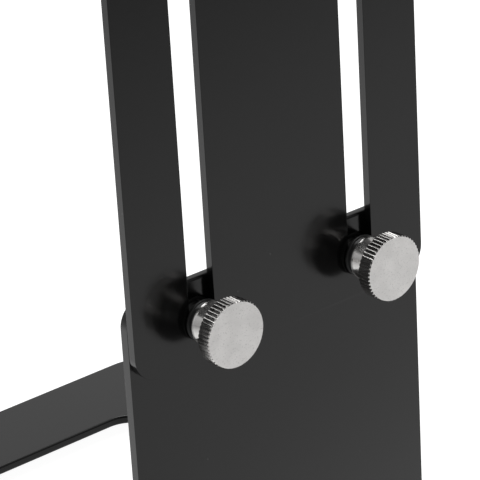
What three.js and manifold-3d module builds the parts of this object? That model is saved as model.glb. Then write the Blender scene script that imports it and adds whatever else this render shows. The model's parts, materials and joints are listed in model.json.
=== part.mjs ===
// Table-top music stand in bent sheet steel, in millimetres, +Z up.
// A window-shaped base carries a fixed lower plate. A slotted upper plate slides on it and is
// clamped by two thumb screws. Two more thumb screws clamp the tilt of the desk.
// The reader sits on the -Y side. The stand is centred on the origin, with its feet on Z = 0.
import * as THREE from "three";
import { mergeVertices } from "three/addons/utils/BufferGeometryUtils.js";
import Module from "manifold-3d";

const wasm = await Module();
wasm.setup();

// ---- driving dimensions ----
const GAP = 0.3; // between pieces that touch
const SHEET = 2.5; // both upright plates
const PLATE_W = 100;
const PLATE_R = 7.5; // rounded corners of both upright plates

const BASE_SHEET = 3;
const BASE_W = 190;
const BASE_FRONT = -30.5; // Y, measured from the upper plate's front face
const BASE_BACK = 189.5;
const BASE_R = 17;
const WINDOW_W = 124;
const WINDOW_FRONT = 27;
const WINDOW_BACK = 157;
const WINDOW_R = 10;
const FOOT_H = 4;
const FOOT_R = 10;
const FOOT_INSET = 16; // foot centre to the base's edges
const FOOT_BORE_R = 2.2;
const FOOT_POCKET_R = 4.2; // pocket under the foot for its screw's head
const FOOT_POCKET = 1.8;
const FOOT_SCREW_R = 1.8;
const FOOT_SCREW_HEAD_R = 3.2;
const FOOT_SCREW_HEAD_T = 0.8;
const BASE_TOP = FOOT_H + BASE_SHEET;

const SCREW_Z = BASE_TOP + 118; // height of the two clamping screws
const SCREW_SPACING = 55;
const LOWER_TOP = 10.9; // lower plate's top edge above the screws
const UPPER_BOTTOM = 11.5; // upper plate's bottom edge below the screws
const TRAVEL = 105; // how far the upper plate slides down
const SLOT_W = 8.4;
const PLATE_H = 165; // upper plate, without its ears
const BEND_R = 2.5; // inside radius of every bend in the plates
const FLANGE_END = 26; // Y of the free edge of the lower plate's foot
const FLANGE_R = 5; // corners of that edge
const FLANGE_SCREW_Y = 17;
const FLANGE_SCREW_XS = [-36, -12, 12, 36];
const FLANGE_SCREW_R = 2.4;
const FLANGE_HEAD_R = 4.6;
const FLANGE_HEAD_T = 2.6;
const FLANGE_KEY_R = 1.7; // six-sided recess, across its corners

const THREAD_R = 4;
const HEAD_R = 9.25;
const HEAD_T = 4.2;
const HEAD_FACE = 13.5; // face of the head, from the sheet that the screw clamps
const TEETH = 50;
const TOOTH_H = 0.35;
const FACE_EDGE = 0.3; // chamfer round the head's face
const COLLAR_R = 6.15; // widest, against the washer
const COLLAR_FRONT_R = 5.92;
const COLLAR_T = 0.6;
const CONE_T = 2.5; // from the collar down to the neck
const NECK_R = 4.6;
const WASHER_R = 5.8;
const WASHER_T = 2.3;
const NUT_R = 8;
const NUT_T = 5;
const NUT_EDGE = 0.6; // chamfer of the nut's free end
const SPIGOT_R = 5.4;
const SPIGOT_SHY = 0.1; // how far the spigot stays below the far face of its sheet

const AXIS_Y = 18; // tilt axis, behind the upper plate's front face
const AXIS_RISE = 24; // tilt axis above the upper plate's top edge
const EAR_R = 14;
const EAR_DROP = 20; // how far the ears reach down beside the plate
const EAR_NOTCH = 1.5; // notch in the plate that ends each ear's bend
const REST_LEAN = 25; // degrees, desk from upright at rest
const DISC_T = 0.8;
const DISC_R = 11;

const DESK_W = 360;
const DESK_UP = 190; // desk's top edge above the tilt axis
const DESK_DOWN = 58; // ledge below the tilt axis
const DESK_SHEET = 1.5;
const DESK_R = 24;
const DESK_BEND_R = 1.5; // inside radius at the ledge and at the lip
const LIP_R = 4;
const DESK_BACK = 24; // desk sheet's back, in front of the tilt axis
const LEDGE = 38;
const LIP = 11;
const STRIP_T = 1;
const STRIP_MARGIN = 3; // bare ledge in front of the strip and behind it
const STRIP_END = 8; // bare ledge at each end of the strip
const STRIP_R = 4;

const CHEEK_SHEET = 2;
const CHEEK_R = 12;
const WEB_DOWN = 24;
const WEB_UP = 46;
const CHEEK_BEND_R = 2;
const STUD_R = 2;
const STUD_X = 28;
const STUD_RISE = 24; // from the middle of the bracket to each row of studs
const STUD_LENGTH = 8;
const STUD_NUT_R = 4.04; // across corners
const STUD_NUT_T = 3.2;

const ROUND = 28; // segments of a round part
const SMALL_ROUND = 12; // segments of a screw or a corner circle

// ---- materials ----
function finish(color, roughness, metalness) {
  return new THREE.MeshStandardMaterial({ color, roughness, metalness });
}
const BLACK_PAINT = () => finish(0x17181a, 0.35, 0.1);
const NICKEL = () => finish(0xc4c0bd, 0.3, 1);
const ZINC = () => finish(0x9b9da0, 0.4, 1);
const BLACK_STEEL = () => finish(0x1c1c1e, 0.45, 0.8);
const RUBBER = () => finish(0x0d0d0e, 0.85, 0);
const NYLON = () => finish(0x101012, 0.5, 0);

// ---- solids ----
function toSolid(geometry) {
  const g = geometry.clone();
  g.deleteAttribute("normal");
  g.deleteAttribute("uv");
  const m = mergeVertices(g, 1e-4);
  return new wasm.Manifold(
    new wasm.Mesh({
      numProp: 3,
      vertProperties: new Float32Array(m.attributes.position.array),
      triVerts: new Uint32Array(m.index.array),
    }),
  );
}

function toGeometry(solid) {
  const mesh = solid.getMesh();
  const points = [];
  for (let i = 0; i < mesh.numVert; i++) {
    const at = i * mesh.numProp;
    points.push(...mesh.vertProperties.subarray(at, at + 3));
  }
  const g = new THREE.BufferGeometry();
  g.setAttribute("position", new THREE.Float32BufferAttribute(points, 3));
  g.setIndex(new THREE.BufferAttribute(new Uint32Array(mesh.triVerts), 1));
  g.computeVertexNormals();
  return g;
}

// Rectangle with its own radius at the bottom and at the top corners, with optional holes.
function roundedRect(x0, y0, x1, y1, bottomR, topR, holes = []) {
  const s = new THREE.Shape();
  s.moveTo(x0 + bottomR, y0);
  s.lineTo(x1 - bottomR, y0);
  if (bottomR > 0) s.absarc(x1 - bottomR, y0 + bottomR, bottomR, -Math.PI / 2, 0);
  s.lineTo(x1, y1 - topR);
  if (topR > 0) s.absarc(x1 - topR, y1 - topR, topR, 0, Math.PI / 2);
  s.lineTo(x0 + topR, y1);
  if (topR > 0) s.absarc(x0 + topR, y1 - topR, topR, Math.PI / 2, Math.PI);
  s.lineTo(x0, y0 + bottomR);
  if (bottomR > 0) s.absarc(x0 + bottomR, y0 + bottomR, bottomR, Math.PI, 1.5 * Math.PI);
  s.holes = holes;
  return s;
}

function circle(x, y, r) {
  const p = new THREE.Path();
  p.absarc(x, y, r, 0, 2 * Math.PI);
  return p;
}

// Upright slot between two end centres, y0 below y1.
function slot(x, y0, y1, r) {
  const p = new THREE.Path();
  p.absarc(x, y1, r, 0, Math.PI);
  p.absarc(x, y0, r, Math.PI, 2 * Math.PI);
  return p;
}

function extrude(shape, depth, curveSegments = 8) {
  return new THREE.ExtrudeGeometry(shape, { depth, bevelEnabled: false, curveSegments });
}

// Shape drawn in X and Z, given thickness along +Y from y.
function plateXZ(shape, y, t, curveSegments) {
  return extrude(shape, t, curveSegments).rotateX(Math.PI / 2).translate(0, y + t, 0);
}

// Shape drawn in Y and Z, given its width along X, centred on x.
function barYZ(shape, x, width, curveSegments) {
  const turn = new THREE.Matrix4().set(0, 0, 1, 0, 1, 0, 0, 0, 0, 1, 0, 0, 0, 0, 0, 1);
  return extrude(shape, width, curveSegments).applyMatrix4(turn).translate(x - width / 2, 0, 0);
}

// Closed [radius, height] profile turned about Z.
function turned(profile, segments = ROUND) {
  const points = profile.map(([r, z]) => new THREE.Vector2(r, z));
  return new THREE.LatheGeometry(points, segments).rotateX(Math.PI / 2);
}

function ring(inner, outer, z0, z1, segments) {
  const profile = [[inner, z0], [outer, z0], [outer, z1], [inner, z1], [inner, z0]];
  return turned(profile, segments);
}

function named(name, geometry, material) {
  const mesh = new THREE.Mesh(geometry, material);
  mesh.name = name;
  return mesh;
}

const MIRROR = [["left", -1], ["right", 1]];
const QUARTERS = [[-1, -1], [1, -1], [-1, 1], [1, 1]];

// ---- base ----
function footPlaces() {
  const x = BASE_W / 2 - FOOT_INSET;
  const y = { "-1": BASE_FRONT + FOOT_INSET, 1: BASE_BACK - FOOT_INSET };
  return QUARTERS.map(([sx, sy]) => [sx * x, y[sy]]);
}

function flangeScrewPlaces() {
  return FLANGE_SCREW_XS.map((x) => [x, FLANGE_SCREW_Y]);
}

function baseFrame() {
  const window = new THREE.Path(
    roundedRect(-WINDOW_W / 2, WINDOW_FRONT, WINDOW_W / 2, WINDOW_BACK, WINDOW_R, WINDOW_R)
      .getPoints(8)
      .reverse(),
  );
  const holes = [window];
  for (const [x, y] of footPlaces()) holes.push(circle(x, y, FOOT_SCREW_R + GAP));
  for (const [x, y] of flangeScrewPlaces()) holes.push(circle(x, y, FLANGE_SCREW_R + GAP));
  const outline = roundedRect(
    -BASE_W / 2, BASE_FRONT, BASE_W / 2, BASE_BACK, BASE_R, BASE_R, holes,
  );
  return extrude(outline, BASE_SHEET).translate(0, 0, FOOT_H);
}

function foot() {
  const top = FOOT_H - GAP;
  const edge = 1.2;
  const profile = [
    [FOOT_BORE_R, FOOT_POCKET], [FOOT_POCKET_R, FOOT_POCKET], [FOOT_POCKET_R, 0],
    [FOOT_R - edge, 0], [FOOT_R, edge], [FOOT_R, top], [FOOT_BORE_R, top],
    [FOOT_BORE_R, FOOT_POCKET],
  ];
  return turned(profile, ROUND);
}

// Pan-head screw up through the foot, its head in the foot's pocket.
function footScrew() {
  const seat = FOOT_POCKET - GAP;
  const head = seat - FOOT_SCREW_HEAD_T;
  const end = BASE_TOP - GAP;
  const profile = [
    [0, head], [FOOT_SCREW_HEAD_R, head], [FOOT_SCREW_HEAD_R, seat],
    [FOOT_SCREW_R, seat], [FOOT_SCREW_R, end], [0, end],
  ];
  return turned(profile, SMALL_ROUND);
}

// Button-head screw with a six-sided recess, its seat on z = 0.
function flangeScrew(length) {
  const profile = [
    [0, -length], [FLANGE_SCREW_R, -length], [FLANGE_SCREW_R, 0], [FLANGE_HEAD_R, 0],
    [FLANGE_HEAD_R, 0.6], [0.85 * FLANGE_HEAD_R, 0.7 * FLANGE_HEAD_T],
    [0.56 * FLANGE_HEAD_R, FLANGE_HEAD_T], [0, FLANGE_HEAD_T],
  ];
  const low = 0.4 * FLANGE_HEAD_T;
  const high = 2 * FLANGE_HEAD_T;
  const key = [[0, low], [FLANGE_KEY_R, low], [FLANGE_KEY_R, high], [0, high]];
  const body = toSolid(turned(profile, SMALL_ROUND));
  return toGeometry(body.subtract(toSolid(turned(key, 6))));
}

// ---- lower plate: upright with its foot bent back ----
function lowerPlate() {
  const y = SHEET + GAP;
  const z = BASE_TOP + GAP;
  const outer = BEND_R + SHEET;
  const top = SCREW_Z + LOWER_TOP;
  const section = new THREE.Shape();
  section.moveTo(y, top);
  section.lineTo(y, z + outer);
  section.absarc(y + outer, z + outer, outer, Math.PI, 1.5 * Math.PI);
  section.lineTo(FLANGE_END, z);
  section.lineTo(FLANGE_END, z + SHEET);
  section.lineTo(y + outer, z + SHEET);
  section.absarc(y + outer, z + outer, BEND_R, 1.5 * Math.PI, Math.PI, true);
  section.lineTo(y + SHEET, top);
  const bent = toSolid(barYZ(section, 0, PLATE_W, 8));

  const nutHoles = MIRROR.map(([, s]) => circle((s * SCREW_SPACING) / 2, SCREW_Z, SPIGOT_R + GAP));
  const front = roundedRect(-PLATE_W / 2, 0, PLATE_W / 2, top, 0, PLATE_R, nutHoles);
  const screwHoles = flangeScrewPlaces().map(([x, hy]) => circle(x, hy, FLANGE_SCREW_R + GAP));
  const plan = roundedRect(
    -PLATE_W / 2, 0, PLATE_W / 2, FLANGE_END, 0, FLANGE_R, screwHoles,
  );
  return toGeometry(
    bent
      .intersect(toSolid(plateXZ(front, 0, 2 * FLANGE_END, 10)))
      .intersect(toSolid(extrude(plan, 2 * SCREW_Z))),
  );
}

// Clinch nut about Z: its spigot fills a hole in the sheet below z = 0.
function clinchNut(sheet) {
  const bore = THREAD_R + GAP;
  const low = -sheet + SPIGOT_SHY;
  const profile = [
    [bore, low], [SPIGOT_R, low], [SPIGOT_R, GAP], [NUT_R, GAP],
    [NUT_R, NUT_T - NUT_EDGE], [NUT_R - NUT_EDGE, NUT_T], [bore, NUT_T], [bore, low],
  ];
  return turned(profile, ROUND);
}

// ---- thumb screw about Z: the clamped sheet's face is z = 0 and the head is above it ----
function serratedOutline() {
  const s = new THREE.Shape();
  for (let i = 0; i < 2 * TEETH; i++) {
    const a = (i * Math.PI) / TEETH;
    const r = i % 2 ? HEAD_R - TOOTH_H : HEAD_R;
    s[i ? "lineTo" : "moveTo"](r * Math.cos(a), r * Math.sin(a));
  }
  return s;
}

// Knurled head, plain neck, and a cone that widens to the collar on the washer.
function thumbScrew(shankEnd) {
  const headBack = HEAD_FACE - HEAD_T;
  const collarBack = WASHER_T + 2 * GAP;
  const collarFront = collarBack + COLLAR_T;
  const rimTop = HEAD_FACE - FACE_EDGE;
  const rootR = HEAD_R - TOOTH_H;
  const rim = toSolid(extrude(serratedOutline(), HEAD_T - FACE_EDGE).translate(0, 0, headBack));
  const face = [
    [0, headBack + 1], [rootR, headBack + 1], [rootR, rimTop], [rootR - FACE_EDGE, HEAD_FACE],
    [0, HEAD_FACE],
  ];
  const stem = [
    [0, shankEnd], [THREAD_R, shankEnd], [THREAD_R, collarBack], [COLLAR_R, collarBack],
    [COLLAR_FRONT_R, collarFront], [NECK_R, collarFront + CONE_T],
    [NECK_R, headBack + 1], [0, headBack + 1],
  ];
  return toGeometry(rim.add(toSolid(turned(face))).add(toSolid(turned(stem))));
}

function screwWasher() {
  return ring(THREAD_R + GAP, WASHER_R, GAP, GAP + WASHER_T, ROUND);
}

// ---- upper plate: slotted, with two ears bent back at its top ----
const UPPER_TOP = SCREW_Z - UPPER_BOTTOM + PLATE_H;
const AXIS_Z = UPPER_TOP + AXIS_RISE;

function earOutline() {
  const s = new THREE.Shape();
  s.moveTo(-1, UPPER_TOP);
  s.lineTo(SHEET + BEND_R, UPPER_TOP);
  s.lineTo(AXIS_Y - EAR_R, AXIS_Z);
  s.absarc(AXIS_Y, AXIS_Z, EAR_R, Math.PI, 0, true);
  s.lineTo(AXIS_Y + EAR_R, AXIS_Z - 6);
  s.lineTo(SHEET + BEND_R + 3, UPPER_TOP - EAR_DROP);
  s.lineTo(-1, UPPER_TOP - EAR_DROP);
  s.holes = [circle(AXIS_Y, AXIS_Z, THREAD_R + GAP)];
  return s;
}

// U-shaped section in X and Y: a web on y0, bent back into two flanges that end at y1.
function channelOutline(width, sheet, y0, y1, insideR) {
  const w = width / 2;
  const r = insideR + sheet;
  const s = new THREE.Shape();
  s.moveTo(-w, y1);
  s.lineTo(-w, y0 + r);
  s.absarc(-w + r, y0 + r, r, Math.PI, 1.5 * Math.PI);
  s.lineTo(w - r, y0);
  s.absarc(w - r, y0 + r, r, 1.5 * Math.PI, 2 * Math.PI);
  s.lineTo(w, y1);
  s.lineTo(w - sheet, y1);
  s.lineTo(w - sheet, y0 + r);
  s.absarc(w - r, y0 + r, insideR, 2 * Math.PI, 1.5 * Math.PI, true);
  s.lineTo(-w + r, y0 + sheet);
  s.absarc(-w + r, y0 + r, insideR, 1.5 * Math.PI, Math.PI, true);
  s.lineTo(-w + sheet, y1);
  return s;
}

function upperPlate() {
  const bottom = SCREW_Z - UPPER_BOTTOM;
  const earBottom = UPPER_TOP - EAR_DROP;
  const slots = MIRROR.map(([, s]) =>
    slot((s * SCREW_SPACING) / 2, SCREW_Z - GAP, SCREW_Z + TRAVEL, SLOT_W / 2),
  );
  const notch = earBottom - EAR_NOTCH;
  const flat = roundedRect(-PLATE_W / 2, bottom, PLATE_W / 2, notch, PLATE_R, 0, slots);
  const neck = PLATE_W / 2 - SHEET - BEND_R;
  const bridge = roundedRect(-neck, notch - 1, neck, earBottom + 1, 0, 0);
  const section = channelOutline(PLATE_W, SHEET, 0, AXIS_Y + EAR_R + 1, BEND_R);
  const height = EAR_DROP + AXIS_RISE + EAR_R + 1;
  const channel = extrude(section, height, 6).translate(0, 0, earBottom);
  const ears = toSolid(channel).intersect(toSolid(barYZ(earOutline(), 0, PLATE_W + 2, 10)));
  return toGeometry(
    toSolid(plateXZ(flat, 0, SHEET, 10)).add(toSolid(plateXZ(bridge, 0, SHEET))).add(ears),
  );
}

// ---- desk, drawn upright about its tilt axis: the origin is on the axis, the reader at -Y ----
const WEB_FACE = -DESK_BACK + GAP; // bracket's front face

// Side view of the bent sheet: the back, the ledge and the lip.
function deskSection() {
  const back = -DESK_BACK;
  const front = back - DESK_SHEET;
  const ledge = -DESK_DOWN;
  const lipBack = front - LEDGE;
  const r = DESK_BEND_R;
  const outer = r + DESK_SHEET;
  const s = new THREE.Shape();
  s.moveTo(back, DESK_UP);
  s.lineTo(front, DESK_UP);
  s.lineTo(front, ledge + r);
  s.absarc(front - r, ledge + r, r, 0, -Math.PI / 2, true);
  s.lineTo(lipBack + r, ledge);
  s.absarc(lipBack + r, ledge + r, r, 1.5 * Math.PI, Math.PI, true);
  s.lineTo(lipBack, ledge + LIP);
  s.lineTo(lipBack - DESK_SHEET, ledge + LIP);
  s.lineTo(lipBack - DESK_SHEET, ledge + r);
  s.absarc(lipBack + r, ledge + r, outer, Math.PI, 1.5 * Math.PI);
  s.lineTo(front - r, ledge - DESK_SHEET);
  s.absarc(front - r, ledge + r, outer, -Math.PI / 2, 0);
  return s;
}

function deskPanel() {
  const bent = toSolid(barYZ(deskSection(), 0, DESK_W, 5));
  const low = -DESK_DOWN - DESK_SHEET;
  const outline = roundedRect(-DESK_W / 2, low, DESK_W / 2, DESK_UP, LIP_R, DESK_R);
  return toGeometry(bent.intersect(toSolid(plateXZ(outline, -DESK_UP, 2 * DESK_UP, 8))));
}

function ledgeStrip() {
  const back = -DESK_BACK - DESK_SHEET - STRIP_MARGIN;
  const front = back - LEDGE + 2 * STRIP_MARGIN;
  const x = DESK_W / 2 - STRIP_END;
  const outline = roundedRect(-x, front, x, back, STRIP_R, STRIP_R);
  return extrude(outline, STRIP_T, 4).translate(0, 0, -DESK_DOWN + GAP);
}

// Outer faces of the bracket's cheeks, at plus and minus this X.
const CHEEK_FACE = PLATE_W / 2 - SHEET - DISC_T - 2 * GAP;

function studPlaces() {
  const middle = (WEB_UP - WEB_DOWN) / 2;
  return QUARTERS.map(([sx, sz]) => [sx * STUD_X, middle + sz * STUD_RISE]);
}

function deskBracket() {
  const shoulder = WEB_FACE + CHEEK_SHEET + CHEEK_BEND_R + 1; // where the cheeks start to taper
  const side = new THREE.Shape();
  side.moveTo(WEB_FACE - 1, -WEB_DOWN);
  side.lineTo(shoulder, -WEB_DOWN);
  side.lineTo(0, -CHEEK_R);
  side.absarc(0, 0, CHEEK_R, -Math.PI / 2, Math.PI / 2);
  side.lineTo(shoulder, WEB_UP);
  side.lineTo(WEB_FACE - 1, WEB_UP);
  side.holes = [circle(0, 0, SPIGOT_R + GAP)];
  const section = channelOutline(
    2 * CHEEK_FACE, CHEEK_SHEET, WEB_FACE, CHEEK_R + 1, CHEEK_BEND_R,
  );
  const height = WEB_DOWN + WEB_UP;
  const channel = toSolid(extrude(section, height + 2, 6).translate(0, 0, -WEB_DOWN - 1));
  const holes = studPlaces().map(([x, z]) => circle(x, z, STUD_R + GAP));
  const plan = roundedRect(-PLATE_W, -WEB_DOWN - 1, PLATE_W, WEB_UP + 1, 0, 0, holes);
  return toGeometry(
    channel
      .intersect(toSolid(barYZ(side, 0, PLATE_W, 10)))
      .intersect(toSolid(plateXZ(plan, -PLATE_W, 2 * PLATE_W, 8))),
  );
}

// ---- assembly ----
function thumbScrewSet(names, shankEnd) {
  const set = new THREE.Group();
  set.add(named(names.screw, thumbScrew(shankEnd), NICKEL()));
  set.add(named(names.washer, screwWasher(), NYLON()));
  return set;
}

function makeBase() {
  const base = new THREE.Group();
  base.add(named("base_frame", baseFrame(), BLACK_PAINT()));
  footPlaces().forEach(([x, y], i) => {
    const rubber = named(`foot_${i + 1}`, foot(), RUBBER());
    const screw = named(`foot_screw_${i + 1}`, footScrew(), ZINC());
    rubber.position.set(x, y, 0);
    screw.position.set(x, y, 0);
    base.add(rubber, screw);
  });
  base.add(named("lower_plate", lowerPlate(), BLACK_PAINT()));
  const seat = BASE_TOP + SHEET + 2 * GAP;
  const length = seat - FOOT_H - GAP;
  flangeScrewPlaces().forEach(([x, y], i) => {
    const screw = named(`flange_screw_${i + 1}`, flangeScrew(length), BLACK_STEEL());
    screw.position.set(x, y, seat);
    base.add(screw);
  });
  for (const [side, s] of MIRROR) {
    const x = (s * SCREW_SPACING) / 2;
    const nut = named(`clinch_nut_${side}`, clinchNut(SHEET), BLACK_STEEL());
    nut.rotation.x = -Math.PI / 2;
    nut.position.set(x, 2 * SHEET + GAP, SCREW_Z);
    const names = { screw: `thumb_screw_${side}`, washer: `screw_washer_${side}` };
    const set = thumbScrewSet(names, -2 * SHEET - NUT_T);
    set.rotation.x = Math.PI / 2;
    set.position.set(x, 0, SCREW_Z);
    base.add(nut, set);
  }
  return base;
}

function makeUpright() {
  const upright = new THREE.Group();
  upright.add(named("upper_plate", upperPlate(), BLACK_PAINT()));
  for (const [side, s] of MIRROR) {
    const disc = ring(THREAD_R + GAP, DISC_R, 0, DISC_T, ROUND);
    const mesh = named(`friction_disc_${side}`, disc, NYLON());
    mesh.rotation.y = (s * Math.PI) / 2;
    mesh.position.set(s * (CHEEK_FACE + GAP), AXIS_Y, AXIS_Z);
    upright.add(mesh);
  }
  return upright;
}

function makeDesk() {
  const desk = new THREE.Group();
  desk.add(named("desk_panel", deskPanel(), BLACK_PAINT()));
  desk.add(named("ledge_strip", ledgeStrip(), RUBBER()));
  desk.add(named("desk_bracket", deskBracket(), BLACK_PAINT()));
  const rod = [[0, 0], [STUD_R, 0], [STUD_R, STUD_LENGTH], [0, STUD_LENGTH]];
  studPlaces().forEach(([x, z], i) => {
    const stud = named(`bracket_stud_${i + 1}`, turned(rod, SMALL_ROUND), ZINC());
    stud.rotation.x = -Math.PI / 2;
    stud.position.set(x, -DESK_BACK + GAP, z);
    const hex = ring(STUD_R + GAP, STUD_NUT_R, 0, STUD_NUT_T, 6);
    const nut = named(`bracket_nut_${i + 1}`, hex, ZINC());
    nut.rotation.x = -Math.PI / 2;
    nut.position.set(x, WEB_FACE + CHEEK_SHEET + GAP, z);
    desk.add(stud, nut);
  });
  for (const [side, s] of MIRROR) {
    const nut = named(`tilt_nut_${side}`, clinchNut(CHEEK_SHEET), BLACK_STEEL());
    nut.rotation.y = (-s * Math.PI) / 2;
    nut.position.set(s * (CHEEK_FACE - CHEEK_SHEET), 0, 0);
    const names = { screw: `tilt_screw_${side}`, washer: `tilt_washer_${side}` };
    const reach = PLATE_W / 2 - CHEEK_FACE + CHEEK_SHEET + NUT_T - 1;
    const set = thumbScrewSet(names, -reach);
    set.rotation.y = (s * Math.PI) / 2;
    set.position.set((s * PLATE_W) / 2, 0, 0);
    desk.add(nut, set);
  }
  desk.rotation.x = THREE.MathUtils.degToRad(-REST_LEAN);
  desk.position.set(0, AXIS_Y, AXIS_Z);
  return desk;
}

const stand = new THREE.Group();
stand.add(makeBase(), makeUpright(), makeDesk());
stand.updateMatrixWorld(true);
const centre = new THREE.Box3().setFromObject(stand, true).getCenter(new THREE.Vector3());
stand.position.set(-centre.x, -centre.y, 0);

export default stand;
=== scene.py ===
import json
import math

import bmesh
import bpy
from mathutils import Matrix, Vector
from mathutils.geometry import tessellate_polygon


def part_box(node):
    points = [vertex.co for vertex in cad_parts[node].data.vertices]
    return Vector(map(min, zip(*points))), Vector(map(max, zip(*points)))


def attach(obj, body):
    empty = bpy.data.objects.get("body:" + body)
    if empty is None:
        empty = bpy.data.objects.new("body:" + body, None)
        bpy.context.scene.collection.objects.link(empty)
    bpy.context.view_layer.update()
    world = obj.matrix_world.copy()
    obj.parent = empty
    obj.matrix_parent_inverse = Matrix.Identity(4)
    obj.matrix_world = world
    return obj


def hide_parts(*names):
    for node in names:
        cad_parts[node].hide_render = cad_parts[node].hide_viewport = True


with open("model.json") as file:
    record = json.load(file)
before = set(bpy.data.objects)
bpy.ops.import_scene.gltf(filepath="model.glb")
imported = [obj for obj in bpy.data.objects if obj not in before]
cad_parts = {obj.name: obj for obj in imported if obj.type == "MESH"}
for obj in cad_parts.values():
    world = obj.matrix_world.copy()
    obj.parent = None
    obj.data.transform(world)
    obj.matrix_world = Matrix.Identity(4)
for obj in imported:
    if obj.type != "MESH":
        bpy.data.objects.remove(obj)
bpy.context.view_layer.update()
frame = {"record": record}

MM = 0.001
SNAP = 0.001  # mm, a bend's cut takes a point this near to it as its own
SIDES = (("left", -1), ("right", 1))

# ---- driving sizes, in millimetres as in the CAD ----
# base and upright
SHEET = 2.5
BEND_R = 2.5
PLATE_CORNER = 7.5
PLATE_EDGE = 0.1  # paint-softened edge of the thick sheets
THIN_EDGE = 0.3  # the same on the desk and its bracket
LOWER_CROWN = 0.7  # extra rounding of the lower plate's top edge
LOWER_FRONT = 0.25  # how far the lower plate's front face stands forward of its place in the CAD
LOWER_FRONT_RISE = 5  # height above the foot's bend over which it comes forward
FLANGE_CORNER = 5
FLANGE_HOLE_R = 2.7
FOOT_HOLE_R = 2.1
BASE_SHEET = 3
BASE_CORNER = 17
BASE_EDGE = 0.8
WINDOW_CORNER = 10
WINDOW_W = 124
WINDOW_D = 130
WINDOW_FRONT = 27  # behind the upper plate's front face
SLOT_W = 8.4
TRAVEL = 105
RELIEF = 1.5  # notch that ends a bend of the upper plate
RELIEF_CORNER = 0.8
NECK_CORNER = 0.6
EAR_R = 14
EAR_DROP = 20
EAR_CORNER = 3
EAR_HEEL = 6
AXIS_RISE = 24

# thumb screws, their washers, discs and nuts
THREAD_R = 4
THREAD_PITCH = 1.25
THREAD_DEPTH = 0.6
TIP = 0.5  # length of a thumb screw's bevelled tip
GAP = 0.3
SPIGOT_R = 5.4
HEAD_R = 9.25
HEAD_T = 4.2
HEAD_FACE = 13.5
FACE_RIM = 2  # ring of the head's face between its chamfer and the middle
TEETH = 50
TOOTH_H = 0.35
TOOTH_SLOPE = 1.25  # above 1, the teeth have flat crests
FACE_EDGE = 0.3  # chamfer between the knurl and the head's face
BACK_EDGE = 0.2
COLLAR_R = 6.15
COLLAR_FRONT_R = 5.92
COLLAR_T = 0.6
CONE_T = 2.5
NECK_R = 4.6
WASHER_R = 5.8
WASHER_T = 2.3
WASHER_FLANGE_T = 0.65
DISC_R = 11
DISC_T = 0.8
CLINCH_R = 8
CLINCH_H = 5
UPRIGHT_SCREW_END = 5  # beyond the thickness of both plates
TILT_SCREW_END = 4  # beyond the inner face of the bracket's cheek

# desk, its bracket and the strip on its ledge
DESK_BACK = 24
DESK_SHEET = 1.5
DESK_BEND = 1.5
DESK_CORNER = 24
LIP_CORNER = 4
DESK_UP = 190
DESK_DOWN = 58
DESK_W = 360
LEDGE = 38
LIP = 11
STRIP_T = 1
STRIP_MARGIN = 3
STRIP_CORNER = 4
STRIP_SIDE = 8  # from the strip's ends to the desk's sides
RIBS = 9
RIB_W = 1.4
RIB_MARGIN = 2
RIB_END = 3  # from a rib's ends to the strip's
RIB_CORNER = 0.6
CHEEK_SHEET = 2
CHEEK_R = 12
CHEEK_BEND = 2
WEB_DOWN = 24
WEB_UP = 46
WEB_CORNER = 2
WEB_SHOULDER = 5  # from the web's face to the corners at its ends
STUD_X = 28
STUD_Z = 24
STUD_HOLE_R = 2.3
STUD_R = 2.0
STUD_H = 8
STUD_TIP = 0.4
STUD_PITCH = 0.7
STUD_THREAD = 0.32
NUT_BORE = 2.3
NUT_CORNER = 4.04
NUT_H = 3.2

# feet and recessed screws
FOOT_TOP_BORE = 2.2
FOOT_RECESS_R = 4.2
FOOT_RECESS = 1.8
FOOT_TAPER = 1.2
FOOT_TAPER_H = 1.6
FOOT_SEAT = 1.5  # height above the table of the face that the screw's head sits on
FOOT_SCREW = (3.2, 0.8, 1.8)  # head radius, head height, shank radius
FOOT_SCREW_L = 5.2
FLANGE_SCREW = (4.6, 2.6, 2.35)

# how finely the meshes follow their shapes
SHORT = 0.01  # keeps the two fillets of one round end apart, and tells two levels or radii apart
HOLE_STEPS = 24
ROUND_STEPS = 96
SMALL_STEPS = 72
SHANK_STEPS = 48
STUD_STEPS = 36
TOOTH_STEPS = 8
RING_ARC = math.radians(22)  # step of the rounded corners in a ring's section
STEM_ARC = math.radians(15)

# ---- places read from the frame ----
PLATE_LOW, PLATE_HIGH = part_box("upper_plate")
FRONT = PLATE_LOW.y / MM  # Y of the upper plate's front face
PLATE_W = (PLATE_HIGH.x - PLATE_LOW.x) / MM
PLATE_BOTTOM = PLATE_LOW.z / MM


def centre_of(node):
    low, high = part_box(node)
    return (low + high) / (2 * MM)


SCREW_X = centre_of("screw_washer_right").x
SCREW_Z = centre_of("screw_washer_right").z
AXIS = centre_of("tilt_washer_right")
AXIS.x = 0
UPPER_TOP = AXIS.z - AXIS_RISE
DESK_NORMAL = next(m["axis"] for m in frame["record"]["mounts"] if m["name"] == "desk_face")
LEAN = math.atan2(DESK_NORMAL[2], -DESK_NORMAL[1])


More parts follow.
